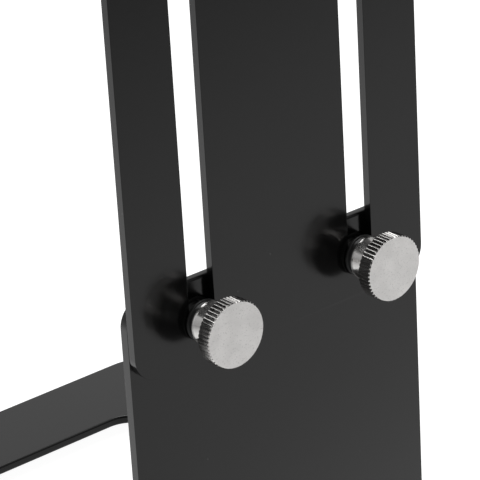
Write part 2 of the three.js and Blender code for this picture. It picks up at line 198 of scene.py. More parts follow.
# ---- outlines: lists of 2-D points, in millimetres ----
def fillet(corners, step=math.radians(6)):
    """Closed outline through (x, y, radius) corners, each rounded to its own radius."""
    out = []
    for i, (x, y, radius) in enumerate(corners):
        corner = Vector((x, y))
        if radius <= 0:
            out.append(corner)
            continue
        before = (Vector(corners[i - 1][:2]) - corner).normalized()
        after = (Vector(corners[(i + 1) % len(corners)][:2]) - corner).normalized()
        half = before.angle(after) / 2
        centre = corner + (before + after).normalized() * (radius / math.sin(half))
        start = corner + before * (radius / math.tan(half)) - centre
        end = corner + after * (radius / math.tan(half)) - centre
        first = math.atan2(start.y, start.x)
        sweep = (math.atan2(end.y, end.x) - first + math.pi) % (2 * math.pi) - math.pi
        steps = max(2, math.ceil(abs(sweep) / step))
        for k in range(steps + 1):
            a = first + sweep * k / steps
            out.append(centre + radius * Vector((math.cos(a), math.sin(a))))
    return out


def rectangle(x0, y0, x1, y1, low_r, high_r):
    return fillet([(x0, y0, low_r), (x1, y0, low_r), (x1, y1, high_r), (x0, y1, high_r)])


def arc(x, y, r, first, last, steps):
    angles = (first + (last - first) * k / steps for k in range(steps + 1))
    return [Vector((x + r * math.cos(a), y + r * math.sin(a))) for a in angles]


def circle(x, y, r, steps=48):
    return arc(x, y, r, 0, 2 * math.pi, steps)[:-1]


def slot(x, y0, y1, r):
    return arc(x, y1, r, 0, math.pi, 24) + arc(x, y0, r, math.pi, 2 * math.pi, 24)


# ---- meshes, built in millimetres ----
def wound(loop, counter_clockwise):
    area = sum(a.cross(b) for a, b in zip(loop, loop[1:] + loop[:1]))
    return loop if (area > 0) == counter_clockwise else loop[::-1]


def outward(loop):
    """Mitred outward normal at each point of a loop that has the material on its left."""
    out = []
    for i, p in enumerate(loop):
        a = (p - loop[i - 1]).normalized()
        b = (loop[(i + 1) % len(loop)] - p).normalized()
        total = Vector((a.y + b.y, -a.x - b.x))
        out.append(total * 2 / total.length_squared)
    return out


def edge_profile(thickness, edge, steps=4):
    """(inset, height) pairs from one face of a sheet round to the other."""
    turn = [k * math.pi / 2 / steps for k in range(steps + 1)]
    low = [(edge * (1 - math.sin(a)), edge * (1 - math.cos(a))) for a in turn]
    return low + [(inset, thickness - height) for inset, height in reversed(low)]


def add_sheet(bm, outline, holes, thickness, edge, z=0.0, crown=0.0):
    """Flat sheet from z to z + thickness. Its edges are rounded by `edge`, its top by `crown` more."""
    rims = []
    for loop in [wound(outline, True)] + [wound(h, False) for h in holes]:
        normals = outward(loop)
        more = 0 if rims else crown
        profiles = [edge_profile(thickness, edge + more * max(0, n.y) ** 2) for n in normals]
        rings = []
        for level in range(len(profiles[0])):
            ring = []
            for p, n, profile in zip(loop, normals, profiles):
                inset, height = profile[level]
                ring.append(bm.verts.new((p.x - n.x * inset, p.y - n.y * inset, z + height)))
            rings.append(ring)
        for low, high in zip(rings, rings[1:]):
            for i in range(len(low)):
                j = (i + 1) % len(low)
                bm.faces.new((low[i], low[j], high[j], high[i]))
        rims.append(rings)
    for level, up in ((0, False), (-1, True)):
        corners = [v for rings in rims for v in rings[level]]
        for tri in tessellate_polygon([[v.co for v in rings[level]] for rings in rims]):
            a, b, c = (corners[i] for i in tri)
            facing_up = (b.co - a.co).cross(c.co - a.co).z > 0
            bm.faces.new((a, b, c) if facing_up == up else (a, c, b))


def bend(bm, across, start, inside, thickness, above=-math.inf, steps=8):
    """Folds what lies beyond `start`, along the flat direction `across`, square towards +Z.

    Points with a Y below `above` stay flat.
    """
    angle = math.pi / 2
    along = Vector((*across, 0))
    length = angle * (inside + thickness / 2)
    for k in range(steps + 1):
        place = along * (start + length * k / steps)
        everything = bm.verts[:] + bm.edges[:] + bm.faces[:]
        bmesh.ops.bisect_plane(bm, geom=everything, plane_co=place, plane_no=along, dist=SNAP)
    bmesh.ops.remove_doubles(bm, verts=bm.verts[:], dist=2 * SNAP)
    for v in bm.verts:
        u = v.co.dot(along) - start
        if u <= 0 or v.co.y < above:
            continue
        turned_by = min(u / length, 1) * angle
        straight = max(u - length, 0)
        reach = thickness + inside - v.co.z
        s = reach * math.sin(turned_by) + straight * math.cos(turned_by)
        h = thickness + inside - reach * math.cos(turned_by) + straight * math.sin(turned_by)
        v.co += along * (s - u)
        v.co.z = h


def add_turned(bm, profile, segments, shape=None, closed=False):
    """Solid of revolution about Z. shape(angle, radius, height) may move a point in or out."""
    rings = []
    for r, z in profile:
        if r < 1e-6:
            rings.append([bm.verts.new((0, 0, z))])
            continue
        ring = []
        for k in range(segments):
            a = 2 * math.pi * k / segments
            radius = shape(a, r, z) if shape else r
            ring.append(bm.verts.new((radius * math.cos(a), radius * math.sin(a), z)))
        rings.append(ring)
    pairs = list(zip(rings, rings[1:]))
    if closed:
        pairs.append((rings[-1], rings[0]))
    for a, b in pairs:
        for i in range(segments):
            j = (i + 1) % segments
            if len(a) == 1:
                bm.faces.new((a[0], b[j], b[i]))
            elif len(b) == 1:
                bm.faces.new((a[i], a[j], b[0]))
            else:
                bm.faces.new((a[i], a[j], b[j], b[i]))


def finish_mesh(name, bm, place, materials, pick=None, sharp=40):
    """Object in metres from a mesh in millimetres. pick(face) gives a face's material number."""
    bm.normal_update()
    bmesh.ops.recalc_face_normals(bm, faces=bm.faces[:])
    if pick:
        for face in bm.faces:
            face.material_index = pick(face)
    bm.transform(Matrix.Scale(MM, 4) @ place)
    if place.determinant() < 0:
        bmesh.ops.reverse_faces(bm, faces=bm.faces[:])
    mesh = bpy.data.meshes.new(name)
    bm.to_mesh(mesh)
    bm.free()
    for m in materials:
        mesh.materials.append(m)
    mesh.shade_smooth()
    mesh.set_sharp_from_angle(angle=math.radians(sharp))
    piece = bpy.data.objects.new(name, mesh)
    bpy.context.scene.collection.objects.link(piece)
    weigh = piece.modifiers.new("even_shading", "WEIGHTED_NORMAL")
    weigh.keep_sharp = True
    weigh.weight = 100
    return piece


def fit(piece, body, slot_name, *nodes):
    """Hides the CAD nodes a piece stands for and hangs the piece on the body that carries it; slot_name,
    its material slot, is not used.
    """
    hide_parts(*nodes)
    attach(piece, body)


# Sheet drawings have X to the right and Y up the sheet; their +Z is towards the back or the front.
UPRIGHT_TO_BACK = Matrix(((1, 0, 0, 0), (0, 0, 1, 0), (0, 1, 0, 0), (0, 0, 0, 1)))
UPRIGHT_TO_FRONT = Matrix(((1, 0, 0, 0), (0, 0, -1, 0), (0, 1, 0, 0), (0, 0, 0, 1)))
DESK_PLACE = Matrix.Translation(AXIS) @ Matrix.Rotation(-LEAN, 4, "X")


# ---- materials ----
class Nodes:
    """Short calls for building one material's node tree."""

    def __init__(self, name):
        self.material = bpy.data.materials.new(name)
        self.material.use_nodes = True
        self.tree = self.material.node_tree
        self.shader = self.tree.nodes["Principled BSDF"]
        self.place = self.add("ShaderNodeTexCoord").outputs["Object"]

    def add(self, kind, **settings):
        node = self.tree.nodes.new(kind)
        for key, value in settings.items():
            setattr(node, key, value)
        return node

    def link(self, out, socket):
        self.tree.links.new(out, socket)

    def set(self, **values):
        for key, value in values.items():
            self.shader.inputs[key.replace("_", " ")].default_value = value

    def noise(self, scale, detail=2.0, roughness=0.5, stretch=None):
        node = self.add("ShaderNodeTexNoise")
        node.inputs["Scale"].default_value = scale
        node.inputs["Detail"].default_value = detail
        node.inputs["Roughness"].default_value = roughness
        where = self.place
        if stretch:
            mapping = self.add("ShaderNodeMapping")
            mapping.inputs["Scale"].default_value = stretch
            self.link(self.place, mapping.inputs["Vector"])
            where = mapping.outputs["Vector"]
        self.link(where, node.inputs["Vector"])
        return node.outputs["Fac"]

    def remap(self, value, low, high, to_low, to_high, smooth=False):
        node = self.add("ShaderNodeMapRange")
        if smooth:
            node.interpolation_type = "SMOOTHSTEP"
        for key, number in zip(("From Min", "From Max", "To Min", "To Max"), (low, high, to_low, to_high)):
            node.inputs[key].default_value = number
        self.link(value, node.inputs["Value"])
        return node.outputs["Result"]

    def blend(self, factor, a, b):
        """Colour a where factor is 0 and b where it is 1; each is a colour or an output."""
        node = self.add("ShaderNodeMix", data_type="RGBA")
        self.link(factor, node.inputs["Factor"])
        for key, value in (("A", a), ("B", b)):
            socket = next(s for s in node.inputs if s.name == key and s.type == "RGBA")
            if isinstance(value, tuple):
                socket.default_value = value
            else:
                self.link(value, socket)
        return next(s for s in node.outputs if s.type == "RGBA")

    def math(self, operation, a, b):
        node = self.add("ShaderNodeMath", operation=operation)
        for socket, value in zip(node.inputs, (a, b)):
            if isinstance(value, (int, float)):
                socket.default_value = value
            else:
                self.link(value, socket)
        return node.outputs["Value"]

    def bump(self, height, distance, strength=1.0, under=None):
        node = self.add("ShaderNodeBump")
        node.inputs["Distance"].default_value = distance
        node.inputs["Strength"].default_value = strength
        self.link(height, node.inputs["Height"])
        if under:
            self.link(under, node.inputs["Normal"])
        return node.outputs["Normal"]


def specks(n, scale, size, share):
    """1 inside sparse round dots: `share` of the cells of a grid hold one."""
    cells = n.add("ShaderNodeTexVoronoi", feature="F1")
    cells.inputs["Scale"].default_value = scale
    n.link(n.place, cells.inputs["Vector"])
    near = n.math("LESS_THAN", cells.outputs["Distance"], size)
    split = n.add("ShaderNodeSeparateColor")
    n.link(cells.outputs["Color"], split.inputs["Color"])
    chosen = n.math("LESS_THAN", split.outputs["Red"], share)
    return n.math("MULTIPLY", near, chosen)


def grey(value, warmth=0.0):
    return (value * (1 + warmth), value, value * (1 - warmth), 1)


def black_paint(name, ior):
    """Semi-gloss black paint: faint orange peel, uneven gloss, a few dust specks."""
    n = Nodes(name)
    n.set(IOR=ior, Metallic=0.0)
    cloud = n.noise(18, detail=3)
    base = n.blend(cloud, grey(0.0026), grey(0.0040))
    dust = specks(n, 260, 0.07, 0.03)
    n.link(n.blend(dust, base, grey(0.05)), n.shader.inputs["Base Color"])
    streaks = n.noise(60, detail=4, roughness=0.6)
    n.link(n.remap(streaks, 0.3, 0.7, 0.14, 0.19), n.shader.inputs["Roughness"])
    peel = n.noise(650, detail=1)
    fine = n.noise(3200, detail=2)
    low = n.bump(peel, 0.00003, 0.25)
    n.link(n.bump(fine, 0.000008, 0.3, low), n.shader.inputs["Normal"])
    return n.material


def nickel_face():
    """Satin turned nickel on the screw's flat face."""
    n = Nodes("nickel_face")
    n.set(Metallic=1.0)
    cloud = n.noise(220, detail=3)
    blotches = n.blend(n.remap(cloud, 0.35, 0.65, 0, 1), grey(0.78, 0.018), grey(0.86, 0.018))
    pits = n.remap(n.noise(2400, detail=2), 0.30, 0.42, 1, 0)
    n.link(n.blend(pits, blotches, grey(0.66, 0.018)), n.shader.inputs["Base Color"])
    grain = n.noise(900, detail=3)
    n.link(n.remap(grain, 0.3, 0.7, 0.32, 0.44), n.shader.inputs["Roughness"])
    n.link(n.bump(grain, 0.00003, 0.3), n.shader.inputs["Normal"])
    return n.material


def nickel_bright():
    """Bright nickel plate on the knurl and the collar."""
    n = Nodes("nickel_bright")
    n.set(Metallic=1.0)
    cloud = n.noise(500, detail=3)
    n.link(n.blend(cloud, grey(0.66, 0.02), grey(0.78, 0.02)), n.shader.inputs["Base Color"])
    n.link(n.remap(cloud, 0.3, 0.7, 0.14, 0.24), n.shader.inputs["Roughness"])
    n.link(n.bump(n.noise(2600, detail=2), 0.00001, 0.25), n.shader.inputs["Normal"])
    return n.material


def nylon():
    n = Nodes("black_plastic")
    n.set(IOR=1.5)
    n.link(n.blend(n.noise(300), grey(0.007), grey(0.012)), n.shader.inputs["Base Color"])
    n.link(n.remap(n.noise(900), 0.3, 0.7, 0.32, 0.44), n.shader.inputs["Roughness"])
    n.link(n.bump(n.noise(3500, detail=2), 0.00001, 0.4), n.shader.inputs["Normal"])
    return n.material


def zinc():
    n = Nodes("zinc_plate")
    n.set(Metallic=1.0)
    cloud = n.noise(350, detail=4)
    n.link(n.blend(cloud, (0.50, 0.52, 0.56, 1), (0.66, 0.65, 0.62, 1)), n.shader.inputs["Base Color"])
    n.link(n.remap(n.noise(900, detail=3), 0.3, 0.7, 0.28, 0.45), n.shader.inputs["Roughness"])
    n.link(n.bump(n.noise(2500, detail=3), 0.00001, 0.5), n.shader.inputs["Normal"])
    return n.material


def black_oxide():
    n = Nodes("black_steel")
    n.set(Metallic=0.6)
    n.link(n.blend(n.noise(400, detail=3), grey(0.012), grey(0.03)), n.shader.inputs["Base Color"])
    n.link(n.remap(n.noise(800, detail=3), 0.3, 0.7, 0.30, 0.48), n.shader.inputs["Roughness"])
    n.link(n.bump(n.noise(2500, detail=3), 0.00001, 0.5), n.shader.inputs["Normal"])
    return n.material


def rubber():
    n = Nodes("rubber")
    n.set(IOR=1.45)
    n.link(n.blend(n.noise(200, detail=3), grey(0.012), grey(0.022)), n.shader.inputs["Base Color"])
    n.link(n.remap(n.noise(700, detail=3), 0.3, 0.7, 0.62, 0.82), n.shader.inputs["Roughness"])
    n.link(n.bump(n.noise(1800, detail=4), 0.00005, 0.5), n.shader.inputs["Normal"])
    return n.material


PAINT = black_paint("black_paint", 1.5)
# painted shade: a copy of the paint that reflects less, so the base's cut edges look shaded
PAINT_SHADED_EDGE = black_paint("black_paint_painted_shade", 1.28)  # reflects less, for the base's cut edges
NICKEL_FACE = nickel_face()
NICKEL_BRIGHT = nickel_bright()
NYLON = nylon()
ZINC = zinc()
BLACK_STEEL = black_oxide()
RUBBER = rubber()


# ---- sheet parts ----
def make_base_frame():
    """Flat frame with an open window, holes for the feet's screws and the flange's."""
    low, high = (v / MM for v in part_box("base_frame"))
    outline = rectangle(low.x, low.y, high.x, high.y, BASE_CORNER, BASE_CORNER)
    window_x = WINDOW_W / 2
    window_y = FRONT + WINDOW_FRONT
    holes = [rectangle(-window_x, window_y, window_x, window_y + WINDOW_D, WINDOW_CORNER, WINDOW_CORNER)]
    for i in range(4):
        foot = centre_of(f"foot_{i + 1}")
        screw = centre_of(f"flange_screw_{i + 1}")
        holes.append(circle(foot.x, foot.y, FOOT_HOLE_R, HOLE_STEPS))
        holes.append(circle(screw.x, screw.y, FLANGE_HOLE_R, HOLE_STEPS))
    bm = bmesh.new()
    add_sheet(bm, outline, holes, BASE_SHEET, BASE_EDGE, low.z)
    middle = low.z + BASE_SHEET / 2

    def pick(face):
        """1 on the cut edges, 0 on the two flat faces."""
        return 1 if abs(face.calc_center_median().z - middle) < BASE_SHEET / 2 - BASE_EDGE / 2 else 0

    # the cut edges take the painted-shade copy of the paint
    piece = finish_mesh("base_frame_sheet", bm, Matrix.Identity(4), [PAINT, PAINT_SHADED_EDGE], pick)
    fit(piece, "base", "black_paint", "base_frame")


def make_lower_plate():
    """Fixed plate, bent at its foot into a flange on the base."""
    low, high = (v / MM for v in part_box("lower_plate"))
    bend_length = math.pi / 2 * (BEND_R + SHEET / 2)
    fold = low.z + BEND_R + SHEET
    foot_y = low.y + BEND_R + SHEET
    free_edge = fold - bend_length - (high.y - foot_y)
    outline = rectangle(low.x, free_edge, high.x, high.z, FLANGE_CORNER, PLATE_CORNER)
    holes = [circle(s * SCREW_X, SCREW_Z, SPIGOT_R + GAP) for _, s in SIDES]
    for i in range(4):
        screw = centre_of(f"flange_screw_{i + 1}")
        flat_y = fold - bend_length - (screw.y - foot_y)
        holes.append(circle(screw.x, flat_y, FLANGE_HOLE_R, HOLE_STEPS))
    bm = bmesh.new()
    add_sheet(bm, outline, holes, SHEET, PLATE_EDGE, crown=LOWER_CROWN)
    for v in bm.verts:
        if v.co.z < SHEET / 2:
            v.co.z -= LOWER_FRONT * min(1, max(0, (v.co.y - fold) / LOWER_FRONT_RISE))
    bend(bm, (0, -1), -fold, BEND_R, SHEET)
    place = Matrix.Translation((0, low.y, 0)) @ UPRIGHT_TO_BACK
    piece = finish_mesh("lower_plate_sheet", bm, place, [PAINT])
    fit(piece, "base", "black_paint", "lower_plate")


def make_upper_plate():
    """Sliding plate with two slots and two ears, which are folded back at its sides."""
    neck = PLATE_W / 2 - SHEET - BEND_R
    # An ear's depth behind the front face, plus this, is its X on the flat sheet.
    shift = neck + math.pi / 2 * (BEND_R + SHEET / 2) - SHEET - BEND_R
    ear_bottom = UPPER_TOP - EAR_DROP
    axis_y = AXIS.y - FRONT
    right = [
        (PLATE_W / 2, PLATE_BOTTOM, PLATE_CORNER),
        (PLATE_W / 2, ear_bottom - RELIEF, RELIEF_CORNER),
        (neck, ear_bottom - RELIEF, NECK_CORNER),
        (neck, ear_bottom, NECK_CORNER),
        (shift + SHEET + BEND_R + EAR_CORNER, ear_bottom, EAR_CORNER),
        (shift + axis_y + EAR_R, AXIS.z - EAR_HEEL, EAR_HEEL),
        (shift + axis_y + EAR_R, AXIS.z + EAR_R, EAR_R - SHORT),
        (shift + axis_y - EAR_R, AXIS.z + EAR_R, EAR_R - SHORT),
        (shift + axis_y - EAR_R, AXIS.z, 0),
        (shift + SHEET + BEND_R, UPPER_TOP, EAR_CORNER),
    ]
    left = [(-x, y, r) for x, y, r in reversed(right)]
    holes = [slot(s * SCREW_X, SCREW_Z - GAP, SCREW_Z + TRAVEL, SLOT_W / 2) for _, s in SIDES]
    holes += [circle(s * (shift + axis_y), AXIS.z, THREAD_R + GAP) for _, s in SIDES]
    bm = bmesh.new()
    add_sheet(bm, fillet(right + left), holes, SHEET, PLATE_EDGE)
    for _, s in SIDES:
        bend(bm, (s, 0), neck, BEND_R, SHEET, above=ear_bottom - RELIEF / 2)
    place = Matrix.Translation((0, FRONT, 0)) @ UPRIGHT_TO_BACK
    piece = finish_mesh("upper_plate_sheet", bm, place, [PAINT])
    fit(piece, "upright", "black_paint", "upper_plate")


def make_desk_panel():
    """The desk's back, ledge and lip, folded from one sheet."""
    bend_length = math.pi / 2 * (DESK_BEND + DESK_SHEET / 2)
    ledge_fold = DESK_DOWN - DESK_BEND
    lip_fold = ledge_fold + bend_length + LEDGE - 2 * DESK_BEND
    end = lip_fold + bend_length + LIP - DESK_BEND
    outline = rectangle(-DESK_W / 2, -end, DESK_W / 2, DESK_UP, LIP_CORNER, DESK_CORNER)
    bm = bmesh.new()
    add_sheet(bm, outline, [], DESK_SHEET, THIN_EDGE)
    bend(bm, (0, -1), lip_fold, DESK_BEND, DESK_SHEET)
    bend(bm, (0, -1), ledge_fold, DESK_BEND, DESK_SHEET)
    place = DESK_PLACE @ Matrix.Translation((0, -DESK_BACK, 0)) @ UPRIGHT_TO_FRONT
    piece = finish_mesh("desk_panel_sheet", bm, place, [PAINT])
    fit(piece, "desk", "black_paint", "desk_panel")


def stud_places():
    """X and Z of the four studs on the desk's back, from the tilt axis."""
    middle = (WEB_UP - WEB_DOWN) / 2
    return [(sx * STUD_X, middle + sz * STUD_Z) for sz in (-1, 1) for sx in (-1, 1)]


def make_desk_bracket():
    """Channel on the desk's back; its two cheeks carry the tilt axis."""
    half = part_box("desk_bracket")[1].x / MM
    web_face = -DESK_BACK + GAP
    neck = half - CHEEK_SHEET - CHEEK_BEND
    shift = neck + math.pi / 2 * (CHEEK_BEND + CHEEK_SHEET / 2) - CHEEK_SHEET - CHEEK_BEND - web_face
    right = [
        (shift + web_face + WEB_SHOULDER, -WEB_DOWN, WEB_CORNER),
        (shift, -CHEEK_R, 0),
        (shift + CHEEK_R, -CHEEK_R, CHEEK_R - SHORT),
        (shift + CHEEK_R, CHEEK_R, CHEEK_R - SHORT),
        (shift, CHEEK_R, 0),
        (shift + web_face + WEB_SHOULDER, WEB_UP, WEB_CORNER),
    ]
    left = [(-x, y, r) for x, y, r in reversed(right)]
    holes = [circle(s * shift, 0, SPIGOT_R + GAP) for _, s in SIDES]
    holes += [circle(x, z, STUD_HOLE_R, HOLE_STEPS) for x, z in stud_places()]
    bm = bmesh.new()
    add_sheet(bm, fillet(right + left), holes, CHEEK_SHEET, THIN_EDGE)
    for _, s in SIDES:
        bend(bm, (s, 0), neck, CHEEK_BEND, CHEEK_SHEET)
    place = DESK_PLACE @ Matrix.Translation((0, web_face, 0)) @ UPRIGHT_TO_BACK
    piece = finish_mesh("desk_bracket_sheet", bm, place, [PAINT])
    fit(piece, "desk", "black_paint", "desk_bracket")


# ---- turned parts, drawn about Z with their seat on Z = 0 ----
def hexagon(angle):
    """Radius of a hexagon with unit corner radius."""
    sector = math.pi / 3
    return math.cos(sector / 2) / math.cos(angle % sector - sector / 2)


def wave(turns):
    """Triangle wave from 0 to 1 and back over one turn."""
    return 1 - abs(2 * (turns % 1) - 1)


def knurled(angle, radius, height):
    tooth = min(1.0, TOOTH_SLOPE * wave(angle * TEETH / (2 * math.pi)))
    return min(radius, HEAD_R - TOOTH_H * (1 - tooth))


def threaded(angle, radius, height):
    """Thread on the rings that have the full radius; the tip's rings stay round."""
    if radius < THREAD_R - SHORT:
        return radius
    return THREAD_R - THREAD_DEPTH * wave(height / THREAD_PITCH - angle / (2 * math.pi))


def make_thumb_screw(name, place, shank_end, body, node):
    """Knurled head, stem with its cone-shaped collar, and threaded shank down to shank_end."""
    back = HEAD_FACE - HEAD_T
    collar = WASHER_T + 2 * GAP
    quarter = [k * math.pi / 8 for k in range(5)]
    low = [(HEAD_R - BACK_EDGE * (1 - math.sin(a)), back + BACK_EDGE * (1 - math.cos(a))) for a in quarter]
    high = [(HEAD_R, HEAD_FACE - FACE_EDGE), (HEAD_R - FACE_EDGE, HEAD_FACE)]
    head = [(0, back), (NECK_R + 1, back), *low, *high, (HEAD_R - FACE_RIM, HEAD_FACE), (0, HEAD_FACE)]
    bm = bmesh.new()
    add_turned(bm, head, TOOTH_STEPS * TEETH, knurled)

    cone = collar + COLLAR_T
    flare = NECK_R + 1.5  # the stem ends in a thin flange inside the head
    inside = back + 0.3
    stem = fillet([
        (0, collar, 0), (COLLAR_R, collar, 0.06), (COLLAR_FRONT_R, cone, 0.15),
        (NECK_R, cone + CONE_T, 0.6), (NECK_R, back, 0.6), (flare, back + 0.1, 0),
        (flare, inside, 0), (0, inside, 0),
    ], STEM_ARC)
    add_turned(bm, [tuple(p) for p in stem], ROUND_STEPS)

    rows = 40
    length = collar - 0.02 - shank_end  # ends just short of the collar's own face
    shank = [(0, shank_end), (THREAD_R - 0.9, shank_end), (THREAD_R - 0.55, shank_end + 0.4)]
    shank += [(THREAD_R, shank_end + TIP + (length - TIP) * k / rows) for k in range(rows + 1)]
    shank += [(0, shank_end + length)]
    add_turned(bm, shank, SHANK_STEPS, threaded)

    def pick(face):
        """0 on the head's flat face, 2 on the shank, 1 on all the rest."""
        if all(v.co.z > HEAD_FACE - SHORT for v in face.verts):
            return 0
        return 2 if all(v.co.z < collar - SHORT for v in face.verts) else 1

    piece = finish_mesh(name, bm, place, [NICKEL_FACE, NICKEL_BRIGHT, BLACK_STEEL], pick, 32)
    fit(piece, body, "nickel", node)


def make_ring(name, corners, place, body, node):
    """Moulded ring with the (radius, height, rounding) corners of its section."""
    bm = bmesh.new()
    add_turned(bm, [tuple(p) for p in fillet(corners, RING_ARC)], ROUND_STEPS, closed=True)
    piece = finish_mesh(name, bm, place, [NYLON])
    fit(piece, body, "black_plastic", node)


def make_clinch_nut(name, sheet, place, body, node):
    """Nut on a sheet whose back face is Z = 0. Its spigot ends 0.1 mm short of the front face."""
    bore = THREAD_R + GAP
    spigot = -sheet + 0.1
    bevel = 0.5
    profile = fillet([
        (bore, spigot, 0.3), (SPIGOT_R, spigot, 0.2), (SPIGOT_R, GAP, 0), (CLINCH_R, GAP, 0.2),
        (CLINCH_R, CLINCH_H, 0.7), (bore + bevel, CLINCH_H, 0), (bore, CLINCH_H - bevel, 0),
    ], RING_ARC)
    bm = bmesh.new()
    add_turned(bm, [tuple(p) for p in profile], ROUND_STEPS, closed=True)
    piece = finish_mesh(name, bm, place, [BLACK_STEEL])
    fit(piece, body, "black_steel", node)


def make_socket_screw(name, size, length, place, material, body, slot_name, node):
    """Domed head on Z = 0 with a six-sided recess, shank below.

    size holds the head's radius, the head's height and the shank's radius.
    """
    head_r, head_h, shank_r = size
    key = head_r * 0.38  # radius to the recess's corners
    flat = key + 0.35
    rim = 0.5  # height of the head's straight side
    bevel = 0.4
    quarter = [k * math.pi / 16 for k in range(9)]
    dome = [(flat + (head_r - flat) * math.cos(a), rim + (head_h - rim) * math.sin(a)) for a in quarter]
    profile = [(0, -length), (shank_r - bevel, -length), (shank_r, -length + bevel), (shank_r, 0)]
    profile += [(head_r, 0)] + dome + [(key + 0.08, head_h), (key, head_h - 0.1)]
    profile += [(key, head_h * 0.42), (0, head_h * 0.34)]

    def shape(angle, radius, height):
        return radius * hexagon(angle) if radius <= key + 1e-6 and height > 0 else radius

    bm = bmesh.new()
    add_turned(bm, profile, SMALL_STEPS, shape)
    piece = finish_mesh(name, bm, place, [material])
    fit(piece, body, slot_name, node)


def make_foot(i):
    """Rubber foot with a recess from below, and the screw in it, head down."""
    node = f"foot_{i}"
    low, high = (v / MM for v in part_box(node))
    top, outer = high.z, (high.x - low.x) / 2
    profile = fillet([
        (FOOT_RECESS_R, 0, 0.3), (outer - FOOT_TAPER, 0, 0.8), (outer, FOOT_TAPER_H, 0.8),
        (outer, top, 0.3), (FOOT_TOP_BORE, top, 0), (FOOT_TOP_BORE, FOOT_RECESS, 0),
        (FOOT_RECESS_R, FOOT_RECESS, 0),
    ], STEM_ARC)
    bm = bmesh.new()
    add_turned(bm, [tuple(p) for p in profile], SMALL_STEPS, closed=True)
    place = Matrix.Translation(((low.x + high.x) / 2, (low.y + high.y) / 2, 0))
    piece = finish_mesh(f"rubber_foot_{i}", bm, place, [RUBBER])
    fit(piece, "base", "rubber", node)
    seat = place @ Matrix.Translation((0, 0, FOOT_SEAT)) @ Matrix.Rotation(math.pi, 4, "X")
    bolt, bolt_node = f"foot_bolt_{i}", f"foot_screw_{i}"
    make_socket_screw(bolt, FOOT_SCREW, FOOT_SCREW_L, seat, ZINC, "base", "zinc", bolt_node)


def make_flange_screw(i):
    node = f"flange_screw_{i}"
    low, high = (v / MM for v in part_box(node))
    seat = high.z - FLANGE_SCREW[1]
    place = Matrix.Translation(((low.x + high.x) / 2, (low.y + high.y) / 2, seat))
    bolt, length = f"flange_bolt_{i}", seat - low.z
    make_socket_screw(bolt, FLANGE_SCREW, length, place, BLACK_STEEL, "base", "black_steel", node)


def make_bracket_fixing(i, x, z):
    """Stud welded to the desk's back, and the hex nut on it."""
    stand_up = Matrix.Rotation(-math.pi / 2, 4, "X")
    stud_place = DESK_PLACE @ Matrix.Translation((x, -DESK_BACK + GAP, z)) @ stand_up
    rows = 36
    threaded_h = STUD_H - STUD_TIP
    profile = [(0, 0)] + [(STUD_R, threaded_h * k / rows) for k in range(rows + 1)]
    profile += [(STUD_R - 0.5, STUD_H), (0, STUD_H)]

    def thread(angle, radius, height):
        if radius < STUD_R - SHORT:
            return radius
        return STUD_R - STUD_THREAD * wave(height / STUD_PITCH - angle / (2 * math.pi))

    bm = bmesh.new()
    add_turned(bm, profile, STUD_STEPS, thread)
    stud = finish_mesh(f"weld_stud_{i}", bm, stud_place, [ZINC])
    fit(stud, "desk", "zinc", f"bracket_stud_{i}")

    nut_place = DESK_PLACE @ Matrix.Translation((x, -DESK_BACK + 2 * GAP + CHEEK_SHEET, z)) @ stand_up
    side = [(3.3, 0), (3.45, 0.02), (3.75, 0.22), (NUT_CORNER, 0.42)]  # bevel from a face to a corner
    far_side = [(r, NUT_H - h) for r, h in reversed(side)]
    bevel = 0.3
    outline = [(NUT_BORE, 0), *side, *far_side, (NUT_BORE + bevel, NUT_H), (NUT_BORE, NUT_H - bevel)]

    def hexed(angle, radius, height):
        return min(radius, NUT_CORNER * hexagon(angle))

    bm = bmesh.new()
    add_turned(bm, outline, SMALL_STEPS, hexed, closed=True)
    nut = finish_mesh(f"hex_nut_{i}", bm, nut_place, [ZINC], sharp=25)
    fit(nut, "desk", "zinc", f"bracket_nut_{i}")


def make_ledge_strip():
    """Thin rubber pad with ribs on it; Y runs from the lip (low) to the desk's back (high)."""
    high_y = -DESK_BACK - DESK_SHEET - STRIP_MARGIN
    low_y = high_y - LEDGE + 2 * STRIP_MARGIN
    half = DESK_W / 2 - STRIP_SIDE
    layer = STRIP_T * 0.6  # thickness of the pad, and of the ribs, which start inside the pad
    bm = bmesh.new()
    pad = rectangle(-half, low_y, half, high_y, STRIP_CORNER, STRIP_CORNER)
    add_sheet(bm, pad, [], layer, 0.15)
    rib_half = half - RIB_END
    pitch = (high_y - low_y - 2 * RIB_MARGIN) / (RIBS - 1)
    for k in range(RIBS):
        y = low_y + RIB_MARGIN + k * pitch - RIB_W / 2
        rib = rectangle(-rib_half, y, rib_half, y + RIB_W, RIB_CORNER, RIB_CORNER)
        add_sheet(bm, rib, [], layer, 0.25, STRIP_T - layer)
    place = DESK_PLACE @ Matrix.Translation((0, 0, -DESK_DOWN + GAP))
    piece = finish_mesh("ledge_grip_strip", bm, place, [RUBBER])
    fit(piece, "desk", "rubber", "ledge_strip")


WASHER_BORE = THREAD_R + GAP
WASHER_TOP = GAP + WASHER_T
WASHER = [
    (WASHER_BORE, GAP, 0.2), (WASHER_R, GAP, 0.15), (WASHER_R, GAP + WASHER_FLANGE_T, 0.2),
    (WASHER_R - 0.35, GAP + WASHER_FLANGE_T + 0.1, 0.1), (WASHER_R - 0.5, WASHER_TOP, 1.1),
    (WASHER_BORE, WASHER_TOP, 0.1),
]
DISC = [(r, z, 0.2) for r, z in (
    (WASHER_BORE, 0), (DISC_R, 0), (DISC_R, DISC_T), (WASHER_BORE, DISC_T),
)]

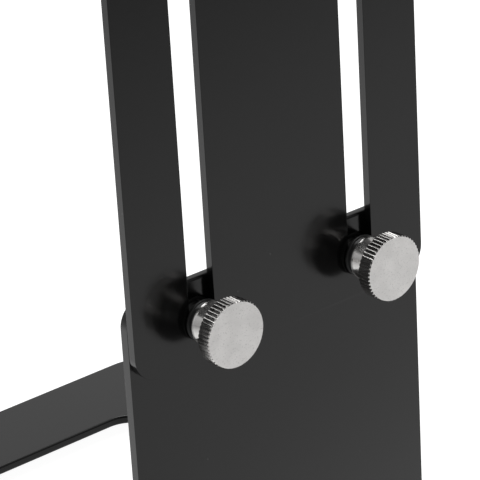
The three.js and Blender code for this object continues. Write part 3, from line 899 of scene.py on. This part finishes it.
make_base_frame()
make_lower_plate()
make_upper_plate()
make_desk_panel()
make_desk_bracket()
make_ledge_strip()
for number in range(1, 5):
    make_foot(number)
    make_flange_screw(number)
for number, (stud_x, stud_z) in enumerate(stud_places(), 1):
    make_bracket_fixing(number, stud_x, stud_z)
for side, s in SIDES:
    body = f"{side}_screw"
    forward = Matrix.Rotation(math.pi / 2, 4, "X")
    at = Matrix.Translation((s * SCREW_X, FRONT, SCREW_Z)) @ forward
    end = -2 * SHEET - UPRIGHT_SCREW_END
    make_thumb_screw(f"knurled_screw_{side}", at, end, body, f"thumb_screw_{side}")
    make_ring(f"nylon_washer_{side}", WASHER, at, body, f"screw_washer_{side}")
    back_face = Matrix.Translation((s * SCREW_X, FRONT + 2 * SHEET + GAP, SCREW_Z))
    nut_at = back_face @ Matrix.Rotation(-math.pi / 2, 4, "X")
    make_clinch_nut(f"plate_nut_{side}", SHEET, nut_at, "base", f"clinch_nut_{side}")

    body = f"{side}_tilt_screw"
    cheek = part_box("desk_bracket")[1].x / MM
    outwards = Matrix.Rotation(s * math.pi / 2, 4, "Y")
    at = Matrix.Translation(AXIS + Vector((s * PLATE_W / 2, 0, 0))) @ outwards
    end = -(PLATE_W / 2 - cheek + CHEEK_SHEET + TILT_SCREW_END)
    make_thumb_screw(f"knurled_tilt_screw_{side}", at, end, body, f"tilt_screw_{side}")
    make_ring(f"tilt_nylon_washer_{side}", WASHER, at, body, f"tilt_washer_{side}")
    disc_at = Matrix.Translation(AXIS + Vector((s * (cheek + GAP), 0, 0))) @ outwards
    make_ring(f"tilt_friction_disc_{side}", DISC, disc_at, "upright", f"friction_disc_{side}")
    cheek_inside = Matrix.Translation(AXIS + Vector((s * (cheek - CHEEK_SHEET), 0, 0)))
    nut_at = cheek_inside @ Matrix.Rotation(-s * math.pi / 2, 4, "Y")
    make_clinch_nut(f"cheek_nut_{side}", CHEEK_SHEET, nut_at, "desk", f"tilt_nut_{side}")


# ---- stage ----
# Painted light: the floor glows, though it is no lamp, brightest at the back and fading along each
# direction. It is a painted pool of light that also washes out the shadows: (metres, share of the glow)
# steps.
PAINTED_FLOOR_LIGHT = 0.95
PAINTED_LIGHT_FRONT_FADE = ((-0.25, -0.97, 0), ((-0.03, 1.0), (0.19, 0.40), (0.60, 0.0)))
PAINTED_LIGHT_LEFT_FADE = ((-1, 0, 0), ((0.1, 1.0), (0.6, 0.4)))
FLOOR_HALF = 15
# World light along one direction: the share of that direction at both ends, and the light there.
WORLD_DEPTH = ((-0.7, 0.2), (0.15, 0.53))
WORLD_HEIGHT = ((0.2, 0.9), (0.0, 0.25))
# Name, diameter in metres, watts, place and target of each softbox.
SOFTBOXES = (
    ("top_softbox", 1.4, 10, (0.3, 0.7, 1.8), (0.1, 0.3, 0)),
    ("front_softbox", 0.5, 1.2, (-0.3, -1.3, 1.0), (0, 0, 0.15)),
    ("left_softbox", 0.7, 4, (-0.45, -0.35, 1.35), (0, 0, 0.15)),
)


def make_floor():
    """Pale floor, lit by the lamps and the world, with painted light on top: it glows brightest behind the
    stand and fades towards the front and the left.
    """
    n = Nodes("studio_floor")
    n.set(Roughness=0.9, IOR=1.3)
    n.link(n.blend(n.noise(3), grey(0.34), grey(0.38)), n.shader.inputs["Base Color"])
    n.shader.inputs["Emission Color"].default_value = (1, 1, 1, 1)
    glow = PAINTED_FLOOR_LIGHT
    for direction, steps in (PAINTED_LIGHT_FRONT_FADE, PAINTED_LIGHT_LEFT_FADE):
        along = n.add("ShaderNodeVectorMath", operation="DOT_PRODUCT")
        n.link(n.place, along.inputs[0])
        along.inputs[1].default_value = direction
        level = steps[0][1]
        for (near, before), (far, after) in zip(steps, steps[1:]):
            fall = n.remap(along.outputs["Value"], near, far, 0, after - before, smooth=True)
            level = n.math("ADD", fall, level)
        glow = n.math("MULTIPLY", level, glow)
    # painted light: this emission strength stands in for a pool of light on the floor and washes out the
    # shadows there
    n.link(glow, n.shader.inputs["Emission Strength"])
    bm = bmesh.new()
    bmesh.ops.create_grid(bm, x_segments=1, y_segments=1, size=FLOOR_HALF)
    mesh = bpy.data.meshes.new("studio_floor")
    bm.to_mesh(mesh)
    bm.free()
    mesh.materials.append(n.material)
    floor = bpy.data.objects.new("studio_floor", mesh)
    bpy.context.scene.collection.objects.link(floor)


def area_light(name, size, power, place, target):
    data = bpy.data.lights.new(name, "AREA")
    data.shape = "DISK"
    data.size = size
    data.energy = power
    light = bpy.data.objects.new(name, data)
    light.location = place
    light.rotation_euler = (Vector(target) - Vector(place)).to_track_quat("-Z", "Y").to_euler()
    bpy.context.scene.collection.objects.link(light)


def make_world():
    """Soft white surroundings, brightest high up behind the stand and dimmest low down in front."""
    world = bpy.data.worlds.new("studio")
    world.use_nodes = True
    tree = world.node_tree
    background = tree.nodes["Background"]
    background.inputs["Color"].default_value = (1, 1, 1, 1)
    split = tree.nodes.new("ShaderNodeSeparateXYZ")
    tree.links.new(tree.nodes.new("ShaderNodeTexCoord").outputs["Generated"], split.inputs[0])
    glow = None
    for axis, (reach, levels) in (("Y", WORLD_DEPTH), ("Z", WORLD_HEIGHT)):
        ramp = tree.nodes.new("ShaderNodeMapRange")
        for key, value in zip(("From Min", "From Max", "To Min", "To Max"), (*reach, *levels)):
            ramp.inputs[key].default_value = value
        tree.links.new(split.outputs[axis], ramp.inputs["Value"])
        if glow:
            total = tree.nodes.new("ShaderNodeMath")
            total.operation = "ADD"
            tree.links.new(glow, total.inputs[0])
            tree.links.new(ramp.outputs["Result"], total.inputs[1])
            glow = total.outputs["Value"]
        else:
            glow = ramp.outputs["Result"]
    tree.links.new(glow, background.inputs["Strength"])
    bpy.context.scene.world = world


# ---- camera: aimed at a point of the upper plate's front face, near the screws ----
CAMERA_AZIMUTH = math.radians(38.663)
CAMERA_ELEVATION = math.radians(24.055)
CAMERA_ROLL = math.radians(-3.432)
CAMERA_DISTANCE = 696.9
AIM = Vector((-13.66, FRONT, SCREW_Z + 17.87))
LENS = 202.5


def make_camera():
    forward = Vector((
        math.sin(CAMERA_AZIMUTH) * math.cos(CAMERA_ELEVATION),
        math.cos(CAMERA_AZIMUTH) * math.cos(CAMERA_ELEVATION),
        -math.sin(CAMERA_ELEVATION),
    ))
    level = forward.cross(Vector((0, 0, 1))).normalized()
    right = Matrix.Rotation(-CAMERA_ROLL, 3, forward) @ level
    up = right.cross(forward)
    data = bpy.data.cameras.new("camera")
    data.lens = LENS
    data.sensor_width = 36
    data.clip_start = 0.02
    camera = bpy.data.objects.new("camera", data)
    place = (AIM - forward * CAMERA_DISTANCE) * MM
    turn = Matrix((right, up, -forward)).transposed().to_4x4()
    camera.matrix_world = Matrix.Translation(place) @ turn
    bpy.context.scene.collection.objects.link(camera)
    bpy.context.scene.camera = camera


make_floor()
make_world()
for softbox in SOFTBOXES:
    area_light(*softbox)
make_camera()
bpy.context.scene.view_settings.view_transform = "Standard"

bpy.context.view_layer.update()
